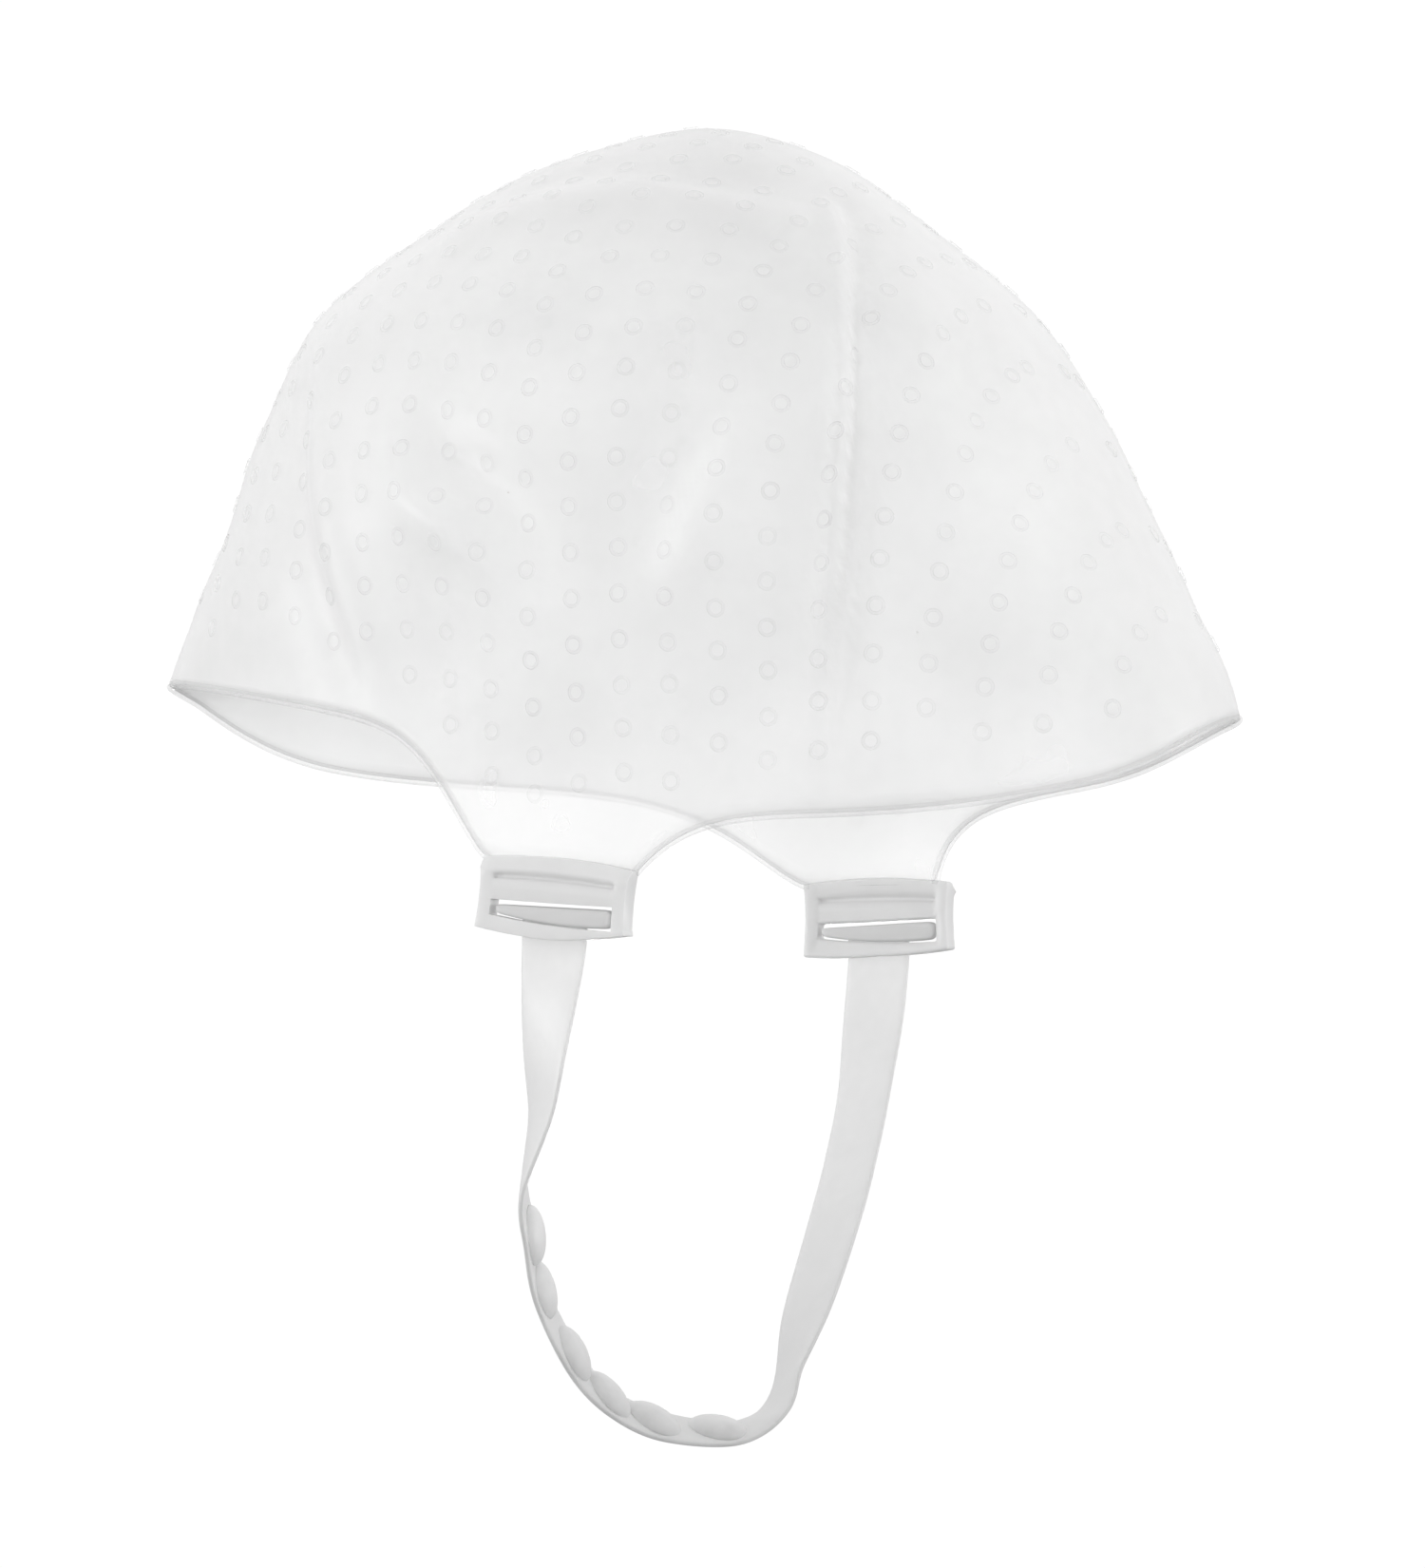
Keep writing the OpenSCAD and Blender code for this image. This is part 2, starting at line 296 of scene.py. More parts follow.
def sweep(stations: int, sides: int, place: Callable[[int, float], Vector]) -> bmesh.types.BMesh:
    """Closed tube from a grid that is rolled up, with its ends filled.

    Args:
        stations: number of steps along the tube.
        sides: number of faces round it.
        place: gives a point for a station number and an angle round the tube.

    Returns:
        The tube, with outward normals.
    """
    bm = bmesh.new()
    bmesh.ops.create_grid(bm, x_segments=stations, y_segments=sides, size=1.0)
    for v in bm.verts:
        v.co = place(round((v.co.x + 1) / 2 * stations), (v.co.y + 1) * math.pi)
    bmesh.ops.remove_doubles(bm, verts=bm.verts, dist=WELD)
    bmesh.ops.holes_fill(bm, edges=[e for e in bm.edges if e.is_boundary], sides=0)
    bmesh.ops.recalc_face_normals(bm, faces=bm.faces)
    return bm


# ---- Bell ----


@dataclass
class Fold:
    """A soft fold pressed into the film: it rises on one side of its line and sinks on the other."""

    # Points of the line: [u down the bell, plan angle in degrees]
    line: Sequence[tuple[float, float]]
    width: float
    lift: float
    steps: int = 12

    def offset(self, bell: "Bell", places: np.ndarray) -> np.ndarray:
        """How far the fold moves points of the bell outwards.

        Args:
            bell: the bell that it lies on.
            places: points on the bare bell.

        Returns:
            One distance for each point.
        """
        rows = np.array(self.line, float)
        rows = np.vstack([2 * rows[0] - rows[1], rows, 2 * rows[-1] - rows[-2]])
        t = np.linspace(0, 1, self.steps, endpoint=False)[:, None]
        path = np.vstack([smooth(*rows[i:i + 4], t) for i in range(len(rows) - 3)] + [rows[-2:-1]])
        u, p = path[:, 0], np.radians(path[:, 1])
        spine = bell.bare(u, p)
        run = np.gradient(spine, axis=0)
        across = np.cross(unit(run), bell.outward(u, p))
        fade = np.sin(np.pi * np.linspace(0.02, 0.98, len(spine))) ** 0.6 * np.linalg.norm(run, axis=-1)
        gap = (places[:, None, :] - spine[None, :, :]) / self.width
        push = (gap * across).sum(-1) * np.exp(0.5 - (gap ** 2).sum(-1) / 2) @ fade
        return self.lift * push / (self.width * math.sqrt(2 * math.pi))


@dataclass
class Bell:
    """The cap's curved wall.

    On it, u runs from 0 at the crown down to the rim, and p is the plan angle from the nape.
    """

    half_len: float = 124 * MM
    half_wid: float = 67.5 * MM
    rise: float = 126 * MM
    wall: float = 1.0 * MM
    tab_x: float = 5.2 * MM
    tab_half: float = 16.55 * MM
    tab_drop: float = 31 * MM
    # Length and power of the curve in which each tab's brow and nape sides flare out into the rim
    flares: dict[Side, Sequence[tuple[float, float]]] = field(default_factory=lambda: {
        Side.LEFT: ((13 * MM, 1.6), (16.9 * MM, 1.0)), Side.RIGHT: ((22.1 * MM, 1.5), (7.54 * MM, 0.7))})
    # How much further in the right tab's nape side starts
    right_inset: float = 3 * MM
    left_lean: float = math.radians(6)
    # How much the lowest part of the bell springs out at the brow and draws in at the nape
    brow_spring: float = 0.05
    nape_spring: float = 0.015
    # Height of the wall's soft unevenness
    ripple: float = 0.5 * MM
    # Height, length and width as parts of rise, half_len and half_wid, then the centre's x in mm
    sections: Sequence[Sequence[float]] = (
        (1.000, 0.000, 0.000, 1.5), (0.953, 0.200, 0.330, 0.0), (0.861, 0.400, 0.620, -4.5),
        (0.690, 0.625, 0.920, -6.5), (0.508, 0.753, 1.035, -5.0), (0.357, 0.829, 1.065, -4.0),
        (0.198, 0.919, 1.045, -3.0), (0.000, 1.000, 1.000, 0.0), (-0.400, 1.030, 1.000, 1.0))
    # Height of the soft rim in mm, every 30 degrees round the plan, from the nape by the right side
    rim_heights: Sequence[float] = (-2, -1, -10.3, -11.5, -9.5, -4.5, 9, 10.5, 4, -8, -19.5, -15)
    folds: Sequence[Fold] = (
        Fold(((2.1, 336), (3.0, 324), (3.8, 318), (4.6, 314), (5.8, 308), (6.4, 304), (7.2, 300)),
             2.1 * MM, 2.2 * MM),
        Fold(((3.4, 225), (4.0, 233), (4.9, 238), (5.5, 242), (6.1, 246), (6.5, 248), (6.9, 250)),
             4.0 * MM, -1.0 * MM),
        Fold(((4.2, 253), (4.85, 260), (5.2, 266), (5.8, 271)), 6.0 * MM, 3.0 * MM),
        Fold(((4.2, 299), (4.95, 293), (5.5, 289), (5.9, 286)), 6.0 * MM, -2.8 * MM),
        Fold(((2.3, 232), (1.95, 254), (1.8, 278), (2.0, 306), (2.2, 331)), 6.0 * MM, 1.4 * MM),
        Fold(((2.9, 345), (3.4, 338), (3.9, 333), (4.6, 331)), 7.0 * MM, 1.2 * MM))

    # Steps of u and p over which the wall's slope is taken
    slope_u: float = 0.02
    slope_p: float = math.radians(0.5)

    @cached_property
    def rows(self) -> np.ndarray:
        """The sections with the mirrored one over the crown and one more below the rim."""
        s = np.array(self.sections, float)
        return np.vstack([s[1] * (1, -1, -1, 1), s, 2 * s[-1] - s[-2]])

    @cached_property
    def rim_rows(self) -> np.ndarray:
        """The rim's heights in metres, with one before and two after for the closed curve."""
        h = np.array(self.rim_heights, float) * MM
        return np.concatenate([h[-1:], h, h[:2]])

    @cached_property
    def heights(self) -> tuple[np.ndarray, np.ndarray]:
        """Heights from the lowest up, and u at each."""
        u = np.arange(len(self.sections) - 1, -0.01, -0.05)
        return self.section(u)[:, 0] * self.rise, u

    def section(self, u: np.ndarray) -> np.ndarray:
        """The section at each u: height, length, width and centre."""
        i = np.clip(np.floor(u), 0, len(self.sections) - 2).astype(int)
        return smooth(*[self.rows[i + k] for k in range(4)], (u - i)[..., None])

    def bare(self, u: np.ndarray, p: np.ndarray) -> np.ndarray:
        """Points of the bell as moulded, before it folds."""
        s = self.section(u)
        low = np.where(np.cos(p) < 0, self.brow_spring, -self.nape_spring)
        spring = 1 + low * np.cos(p) ** 2 * np.maximum(u - 6, 0) ** 1.5
        return np.stack([s[..., 3] * MM + self.half_len * s[..., 1] * np.cos(p) * spring,
                         self.half_wid * s[..., 2] * np.sin(p), self.rise * s[..., 0]], axis=-1)

    def outward(self, u: np.ndarray, p: np.ndarray) -> np.ndarray:
        """Outward normals of the bell as moulded."""
        return self._normal(self.bare, u, p)

    def skin(self, u: np.ndarray, p: np.ndarray) -> np.ndarray:
        """Points of the bell's outer face as it lies, with its folds and its soft unevenness."""
        bare = self.bare(u, p)
        flat = bare.reshape(-1, 3)
        x, y, z = flat.T / MM
        lift = self.ripple * (np.sin(x / 11 + z / 17) * np.sin(y / 13 - z / 15 + 1)
                              + np.sin(x / 23 - z / 9 + 2) / 2)
        lift = lift + sum(f.offset(self, flat) for f in self.folds)
        return bare + self.outward(u, p) * lift.reshape(bare.shape[:-1] + (1,))

    def skin_normal(self, u: np.ndarray, p: np.ndarray) -> np.ndarray:
        """Outward normals of the outer face as it lies."""
        return self._normal(self.skin, u, p)

    def _normal(self, face: Callable[[np.ndarray, np.ndarray], np.ndarray], u: np.ndarray,
                p: np.ndarray) -> np.ndarray:
        """Outward normals of a face of the bell.

        Args:
            face: gives the face's points.
            u: places down the bell.
            p: plan angles.

        Returns:
            A normal for each place.
        """
        down = face(u + self.slope_u, p) - face(np.maximum(u - self.slope_u, 0), p)
        return unit(np.cross(down, face(u, p + self.slope_p) - face(u, p - self.slope_p)))

    def rim_height(self, p: np.ndarray) -> np.ndarray:
        """Height of the rim at each plan angle, down to the ends of the ear tabs."""
        turn = np.mod(np.degrees(p), 360) / 30
        i = np.floor(turn).astype(int) % 12
        plain = smooth(*[self.rim_rows[i + k] for k in range(4)], turn - np.floor(turn))
        x = self.half_len * np.cos(p)
        lean = np.where(np.sin(p) < 0, (x - self.tab_x) * math.tan(self.left_lean), 0)
        beyond = np.abs(x - self.tab_x) - self.tab_half
        share = np.zeros_like(x)
        for side, (brow, nape) in self.flares.items():
            inset = self.right_inset if side is Side.RIGHT else 0
            halves = (x <= self.tab_x, brow, 0), (x > self.tab_x, nape, inset)
            for here, (length, power), more in halves:
                curve = np.exp(-(np.maximum(beyond + more, 0) / length) ** power)
                share = np.where(here & (np.sin(p) * side.value > 0), curve, share)
        return plain + share * (-self.tab_drop - lean - plain)

    def rim_u(self, p: np.ndarray) -> np.ndarray:
        """The u of the rim at each plan angle."""
        return np.interp(self.rim_height(p), *self.heights)

    def corner(self, reach: float) -> float:
        """Plan angle on the wearer's right at this distance from a tab's middle, towards the nape."""
        return math.acos((self.tab_x + reach) / self.half_len)


@dataclass
class CapShell:
    """The thin wall with its two ear tabs, in one moulding."""

    bell: Bell
    around: int = 336
    down: int = 108
    # Draws the steps round the plan closer together at the ear tabs
    crowd: float = math.radians(15.5)

    def build(self) -> bpy.types.Object:
        """Shapes the upper half of a sphere onto the bell, then gives it the wall's thickness.

        Returns:
            The shell.
        """
        bm = bmesh.new()
        bmesh.ops.create_uvsphere(bm, u_segments=self.around, v_segments=2 * self.down, radius=1.0)
        bmesh.ops.delete(bm, geom=[v for v in bm.verts if v.co.z < -1e-4], context="VERTS")
        way = np.array([v.co for v in bm.verts])
        even = np.arctan2(way[:, 1], way[:, 0])
        p = even + self.crowd * np.sin(2 * even)
        u = self.bell.rim_u(p) * np.arccos(np.clip(way[:, 2], 0, 1)) / (math.pi / 2)
        for v, place in zip(bm.verts, self.bell.skin(u, p)):
            v.co = place
        bmesh.ops.remove_doubles(bm, verts=bm.verts, dist=1e-6)
        bmesh.ops.recalc_face_normals(bm, faces=bm.faces)
        if sum(f.normal.dot(f.calc_center_median()) for f in bm.faces) < 0:
            bmesh.ops.reverse_faces(bm, faces=bm.faces)
        bmesh.ops.solidify(bm, geom=bm.faces, thickness=self.bell.wall)
        return finish(bm, "cap_film", FILM, Body.CAP, Slot.CAP, ["cap_shell"])


@dataclass
class RimBeads:
    """The rounded bead that edges the rim, from buckle to buckle at the brow and at the nape."""

    bell: Bell
    radius: float = 0.95 * MM
    stations: int = 220
    sides: int = 12

    def build(self) -> list[bpy.types.Object]:
        """Makes both beads.

        Returns:
            The brow bead and the nape bead.
        """
        half = self.bell.tab_half
        reaches = -half, half, half - self.bell.right_inset
        brow, left, right = [self.bell.corner(reach) for reach in reaches]
        return [self._bead("brow_bead", brow, 2 * math.pi - brow, "front_rim_bead"),
                self._bead("nape_bead", -left, right, "nape_rim_bead")]

    def _bead(self, name: str, start: float, end: float, node: str) -> bpy.types.Object:
        """Sweeps a round section along the rim.

        Args:
            name: the piece's name.
            start: plan angle where the bead starts.
            end: plan angle where it ends.
            node: the CAD node that it stands for.

        Returns:
            The bead.
        """
        share = (1 - np.cos(np.linspace(0, math.pi, self.stations + 1))) / 2
        p = start + (end - start) * share
        u = self.bell.rim_u(p)
        out = self.bell.skin_normal(u, p)
        middle = self.bell.skin(u, p) - self.bell.wall / 2 * out
        run = unit(np.gradient(middle, axis=0))
        out = unit(out - run * (out * run).sum(-1, keepdims=True))
        side = np.cross(run, out)

        def place(i: int, turn: float) -> Vector:
            """Point of the bead at a station and an angle."""
            return Vector(middle[i] + self.radius * (math.cos(turn) * out[i] + math.sin(turn) * side[i]))

        return finish(sweep(self.stations, self.sides, place), name, BEAD, Body.CAP, Slot.CAP, [node])


@dataclass
class PullThroughRings:
    """Small raised rings in columns across the head, where hair is hooked through."""

    bell: Bell
    radius: float = 2.0 * MM
    lip: float = 0.75 * MM
    column: float = 10.3 * MM
    row: float = 9.3 * MM
    # Clear film between the last rings and the rim, and past the last columns
    margin: float = 11 * MM
    end_margin: float = 8 * MM
    # How high the middle of a lip stands above the film
    stand_off: float = 0.05 * MM
    # Steps of u in which a column is followed down the bell
    step: float = 0.04
    segments: int = 14
    lip_sides: int = 5

    def places(self) -> tuple[np.ndarray, np.ndarray]:
        """Where the rings sit: columns across the head, evenly spaced down both faces.

        Returns:
            The u and the plan angle of each ring.
        """
        found = []
        u = np.arange(self.step, len(self.bell.sections) - 1 + self.step / 4, self.step)
        s = self.bell.section(u)
        reach = math.floor((self.bell.half_len - self.end_margin) / self.column)
        for i in range(-reach, reach + 1):
            c = (i * self.column - s[:, 3] * MM) / (self.bell.half_len * s[:, 1])
            on = np.abs(c) < 1
            z, here = self.bell.rise * s[on, 0], u[on]
            y = self.bell.half_wid * s[on, 2] * np.sqrt(1 - c[on] ** 2)
            run = y[0] + np.concatenate([[0], np.cumsum(np.hypot(np.diff(y), np.diff(z)))])
            at = (np.arange(math.floor(run[-1] / self.row)) + 0.5 + (abs(i) % 2) / 2) * self.row
            k = np.round(np.interp(at, run, np.arange(len(run)))).astype(int)
            for side in Side:
                p = side.value * np.arccos(c[on][k])
                kept = z[k] > self.bell.rim_height(p) + self.margin
                found += list(zip(here[k][kept], p[kept]))
        u, p = np.array(found).T
        return u, p

    def build(self) -> bpy.types.Object:
        """Sets one small ring at each place.

        Returns:
            All the rings as one piece.
        """
        one = bmesh.new()
        middle = Vector((self.radius - self.lip / 2, 0, self.stand_off))
        stand = Matrix.Translation(middle) @ Matrix.Rotation(math.pi / 2, 4, "X")
        circle = bmesh.ops.create_circle(one, segments=self.lip_sides, radius=self.lip / 2, matrix=stand)
        edges = list({e for v in circle["verts"] for e in v.link_edges})
        bmesh.ops.spin(one, geom=circle["verts"] + edges, cent=(0, 0, 0), axis=(0, 0, 1),
                       angle=2 * math.pi, steps=self.segments, use_merge=True)
        bmesh.ops.remove_doubles(one, verts=one.verts, dist=WELD)
        bmesh.ops.recalc_face_normals(one, faces=one.faces)
        template = bpy.data.meshes.new("one_ring")
        one.to_mesh(template)
        one.free()
        bm = bmesh.new()
        u, p = self.places()
        for place, normal in zip(self.bell.skin(u, p), self.bell.skin_normal(u, p)):
            before = len(bm.verts)
            bm.from_mesh(template)
            bm.verts.ensure_lookup_table()
            turn = Vector(normal).to_track_quat("Z", "X").to_matrix().to_4x4()
            bmesh.ops.transform(bm, matrix=Matrix.Translation(place) @ turn, verts=bm.verts[before:])
        bpy.data.meshes.remove(template)
        log.info("%d rings", len(u))
        return finish(bm, "ring_lips", RING, Body.CAP, Slot.CAP, ["pull_through_rings"])


# ---- Buckles ----


@dataclass
class Buckle:
    """A thick slotted block at the end of an ear tab, moulded in one with it."""

    side: Side
    width: float = 35.5 * MM
    height: float = 16.8 * MM
    thick: float = 4 * MM
    # How far the middles of the long edges stand out, and those of the short ones draw in
    bow: float = 1.2 * MM
    waist: float = 0.5 * MM
    # Width of the solid part at either end of the slot, and of the bands cut beside it
    border: float = 2.95 * MM
    end_band: float = 0.9 * MM
    # Bottom and top of the groove, its depth, how much shorter it is than the slot at each end, and
    # the width of its sloping sides
    groove: tuple[float, float] = (3.2 * MM, 4.6 * MM)
    groove_deep: float = 1.1 * MM
    groove_short: float = 0.5 * MM
    groove_side: float = 0.15 * MM
    # Bottom and top of the slot at its middle, and how far they spread apart towards the nape
    slot: tuple[float, float] = (-5.5 * MM, -0.95 * MM)
    slot_spread: tuple[float, float] = (-0.035, 0.027)
    # The outer face slopes into the ear tab over this much of the block's top, to this far off its middle
    slope: float = 2.6 * MM
    slope_out: float = 0.7 * MM
    # Depth of the inner face's sunken panel, and the margin it leaves below and above
    panel_deep: float = 0.5 * MM
    panel_margin: float = 1.2 * MM
    # Height of the bottom edge's own band
    foot: float = 1.1 * MM
    # How far the bottom edge rises at each block's nape end (left) or sinks at its brow end (right)
    skew: float = 1.2 * MM
    # Radius of the rounded edges, which are those that turn by more than this angle
    edge: float = 0.6 * MM
    sharp: float = math.radians(50)
    # Points this close to a line, and to a block's border or top, count as on it
    on_line: float = 0.01 * MM
    near: float = 0.1 * MM
    place: tuple[float, float, float] = (5.2 * MM, 67.5 * MM, -37.8 * MM)
    lean: float = math.radians(6)

    @property
    def slot_half(self) -> float:
        """Half the slot's length."""
        return self.width / 2 - self.border

    @property
    def stand(self) -> Matrix:
        """The block's place and lean in the frame, with its outer face towards +Y or -Y."""
        x, y, z = self.place
        lean = self.lean if self.side is Side.LEFT else 0
        return Matrix.Translation((x, y * self.side.value, z)) @ Matrix.Rotation(lean, 4, "Y")

    def build(self) -> bpy.types.Object:
        """Cuts a plate into bands, opens the slot, thickens it, rounds its edges and presses the grooves.

        Returns:
            The block.
        """
        bm = bmesh.new()
        across = Matrix.Rotation(math.pi / 2, 4, "X") @ Matrix.Diagonal((self.width, self.height, 1, 1))
        bmesh.ops.create_grid(bm, x_segments=1, y_segments=1, size=0.5, matrix=across)
        half = self.slot_half
        cuts_x = [-half, half] + [half * (k / 6 - 1) for k in range(1, 12)]
        cuts_x += [s * (half + band) for band in (-self.end_band, self.end_band) for s in (-1, 1)]
        cuts_z = [*self.groove, *self.slot, self.height / 2 - self.slope, -self.height / 2 + self.foot]
        cuts_z += [(self.slot[1] + self.groove[0]) / 2]
        for axis, cuts in ((0, cuts_x), (2, cuts_z)):
            for cut in cuts:
                normal = Vector([float(k == axis) for k in range(3)])
                bmesh.ops.bisect_plane(bm, geom=bm.verts[:] + bm.edges[:] + bm.faces[:], dist=WELD,
                                       plane_co=normal * cut, plane_no=normal)
        bmesh.ops.delete(bm, geom=self._within(bm, half, self.slot), context="FACES")
        bmesh.ops.recalc_face_normals(bm, faces=bm.faces)
        bmesh.ops.solidify(bm, geom=bm.faces, thickness=self.thick)
        bmesh.ops.recalc_face_normals(bm, faces=bm.faces)
        mid = sum(v.co.y for v in bm.verts) / len(bm.verts)
        for v in bm.verts:
            v.co.y -= mid
        self._shape(bm)
        sharp = [e for e in bm.edges if len(e.link_faces) == 2 and e.calc_face_angle() > self.sharp]
        bmesh.ops.bevel(bm, geom=sharp, offset=self.edge, affect="EDGES", segments=3, profile=0.5,
                        material=-1, clamp_overlap=True)
        bmesh.ops.recalc_face_normals(bm, faces=bm.faces)
        bmesh.ops.inset_region(bm, faces=self._within(bm, half - self.groove_short, self.groove),
                               thickness=self.groove_side, depth=-self.groove_deep,
                               use_even_offset=True)
        bmesh.ops.transform(bm, matrix=self.stand, verts=bm.verts)
        name = self.side.name.lower() + "_buckle"
        return finish(bm, name + "_block", BLOCK, Body.CAP, Slot.BUCKLE, [name])

    def _within(self, bm: bmesh.types.BMesh, reach: float,
                band: tuple[float, float]) -> list[bmesh.types.BMFace]:
        """The faces whose middles lie in a band across the block's broad faces.

        Args:
            bm: the block, in its own axes.
            reach: how far the band runs to either side of the middle.
            band: its bottom and top.

        Returns:
            The faces.
        """
        middles = [(f, f.calc_center_median()) for f in bm.faces if abs(f.normal.y) > 0.9]
        return [f for f, c in middles if abs(c.x) < reach and band[0] < c.z < band[1]]

    def _shape(self, bm: bmesh.types.BMesh) -> None:
        """Slopes the top, spreads the slot, sinks the inner panel, bows the edges and skews the bottom.

        Args:
            bm: the thickened plate, in the block's own axes.
        """
        for v in bm.verts:
            x, y, z = v.co
            outer = y * self.side.value > 0
            share_x, share_z = 2 * x / self.width, 2 * z / self.height
            inside = abs(x) < self.slot_half + self.near
            if outer and z > self.height / 2 - self.near:
                v.co.y = self.side.value * self.slope_out
            for edge, spread in zip(self.slot, self.slot_spread):
                if inside and abs(z - edge) < self.on_line:
                    v.co.z += spread * x
            if not outer and inside and abs(z) < self.height / 2 - self.panel_margin:
                v.co.y += self.side.value * self.panel_deep
            v.co.z -= self.bow * share_x ** 2 * share_z
            v.co.x -= self.waist * share_x * (1 - share_z ** 2)
            if z < -self.height / 2 + self.foot + self.near:
                v.co.z -= self.skew * self.side.value * max(-share_x * self.side.value, 0)


@dataclass
class StrapBar:
    """The bar across a strap's end, which lies in the buckle's lower slot."""

    buckle: Buckle
    length: float = 27.6 * MM
    # Heights of its top and its underside at its middle, and how they spread apart towards the nape
    top: float = -1.65 * MM
    bottom: float = -5.3 * MM
    top_spread: float = 0.04
    bottom_spread: float = -0.035
    thick: float = 3.2 * MM
    # How much higher the underside is at the bar's ends, so that it can rock
    keel: float = 0.85 * MM
    # How square the section is, from 0 for square to 1 for round
    roundness: float = 0.45
    stations: int = 40
    sides: int = 20

    def build(self) -> bpy.types.Object:
        """Sweeps a rounded section along the bar.

        Returns:
            The bar.
        """
        x = np.linspace(-1, 1, self.stations + 1)
        x = np.sign(x) * (1 - (1 - np.abs(x)) ** 1.5)
        swell = np.maximum(1 - np.abs(x) ** 30, 0) ** 0.5

        def place(i: int, turn: float) -> Vector:
            """Point of the bar at a station and an angle."""
            along = x[i] * self.length / 2
            low = self.bottom + self.bottom_spread * along + self.keel * x[i] ** 2
            top = self.top + self.top_spread * along
            c, s = math.cos(turn), math.sin(turn)
            y = self.thick / 2 * squarer(c, self.roundness) * swell[i]
            z = (top + low) / 2 + (top - low) / 2 * squarer(s, self.roundness) * swell[i]
            return Vector((along, y, z))

        bm = sweep(self.stations, self.sides, place)
        bmesh.ops.transform(bm, matrix=self.buckle.stand, verts=bm.verts)
        side = self.buckle.side.name
        # Its finish is darkened with painted shade of the slot, over the bar's own milky grey
        return finish(bm, side.lower() + "_end_bar", BAR, Body[side + "_BAR"], Slot.STRAP,
                      [side.lower() + "_strap_bar"])


# ---- Chin strap ----


@dataclass
class ChinStrap:
    """The flat strap that loops under the chin, with its round pads on the inner face."""

    width: float = 15 * MM
    thick: float = 1.3 * MM
    pad_radius: float = 6.3 * MM
    pad_rise: float = 2.7 * MM
    # Centre line from the right bar down, round under the chin and up to the left bar, in mm, and the
    # turn of the strap's width away from the head's length, in degrees
    route: Sequence[Sequence[float]] = (
        (5.1, 67.5, -40.5, 0), (5, 67.5, -48.2, 2), (4.2, 66.5, -61, 4), (5.5, 60.6, -75, 14),
        (8.1, 50.1, -89.3, 15), (10.3, 39.2, -102.5, 14), (12.8, 23.2, -121.3, 19),
        (13.2, 13.2, -136.5, 39), (12.7, 3.5, -144.1, 14), (8.6, -8.1, -147, -18),
        (0.4, -20.9, -144.9, -38), (-4.5, -31.3, -139.6, -52), (-7.4, -40.7, -130.8, -64),
        (-10, -48.8, -117.5, -66), (-9, -54.5, -106.2, -67), (-7.6, -59.2, -96.3, -64),
        (-2, -62.9, -82.7, -48), (2, -67, -68.8, -26), (4.6, -67.5, -48.2, 0), (4.9, -67.5, -40.5, 0))
    # Stops of the route under the pads
    pad_stops: tuple[int, int] = (9, 14)
    # How far a pad goes on below its widest line, as a part of its rise
    pad_sink: float = 0.2
    # How square the strap's edges and its faces are, from 0 for square to 1 for round
    edge_roundness: float = 0.35
    face_roundness: float = 0.5
    # Part of a stop over which the strap's direction is taken
    reach: float = 0.05
    steps: int = 14
    sides: int = 24

    @cached_property
    def rows(self) -> np.ndarray:
        """The route in metres and radians, with one stop more at each end."""
        r = np.array(self.route, float) * (MM, MM, MM, math.pi / 180)
        return np.vstack([2 * r[0] - r[1], r, 2 * r[-1] - r[-2]])

    def at(self, v: np.ndarray) -> np.ndarray:
        """Points of the route and its turn there."""
        i = np.clip(np.floor(v), 0, len(self.route) - 2).astype(int)
        return smooth(*[self.rows[i + k] for k in range(4)], (v - i)[..., None])

    def directions(self, v: np.ndarray) -> tuple[np.ndarray, np.ndarray, np.ndarray]:
        """Directions at each v of the route.

        Args:
            v: stops and shares of the way between them.

        Returns:
            Centres, directions across the width, and directions out of the inner face.
        """
        here = self.at(v)
        along = unit(self.at(v + self.reach)[:, :3] - self.at(v - self.reach)[:, :3])
        level = unit(np.array([1.0, 0, 0]) - along * along[:, :1])
        turn = here[:, 3:]
        across = np.cos(turn) * level + np.sin(turn) * np.cross(along, level)
        return here[:, :3], across, np.cross(along, across)

    def build(self) -> list[bpy.types.Object]:
        """Makes the strap, which bends below the buckles, and its pads.

        Returns:
            The strap and the pads.
        """
        stations = self.steps * (len(self.route) - 1)
        centre, across, inner = self.directions(np.linspace(0, len(self.route) - 1, stations + 1))

        def place(i: int, turn: float) -> Vector:
            """Point of the strap at a station and an angle."""
            c, s = math.cos(turn), math.sin(turn)
            side = squarer(c, self.edge_roundness) * self.width / 2
            face = squarer(s, self.face_roundness) * self.thick / 2
            return Vector(centre[i] + side * across[i] + face * inner[i])

        strap = finish(sweep(stations, self.sides, place), "strap_ribbon", RIBBON, None, Slot.STRAP,
                       ["chin_strap"])
        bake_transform(strap)
        return [strap, self._pads()]

    def _pads(self) -> bpy.types.Object:
        """Presses a dome onto the inner face at each pad stop.

        Returns:
            The pads as one piece.
        """
        first, last = self.pad_stops
        centre, across, inner = self.directions(np.arange(first, last + 1, dtype=float))
        bm = bmesh.new()
        for c, a, n in zip(centre, across, inner):
            turn = Matrix([a, np.cross(n, a), n]).transposed().to_4x4()
            place = Matrix.Translation(Vector(c + n * self.thick / 2)) @ turn
            dome = bmesh.ops.create_uvsphere(bm, u_segments=32, v_segments=18, radius=1.0)["verts"]
            for v in dome:
                v.co.z *= 1.0 if v.co.z > 0 else self.pad_sink
            size = Matrix.Diagonal((self.pad_radius, self.pad_radius, self.pad_rise, 1))
            bmesh.ops.transform(bm, matrix=place @ size, verts=dome)
        return finish(bm, "adjusting_pads", PAD, Body.STRAP, Slot.STRAP, ["strap_pads"])


# ---- Studio ----


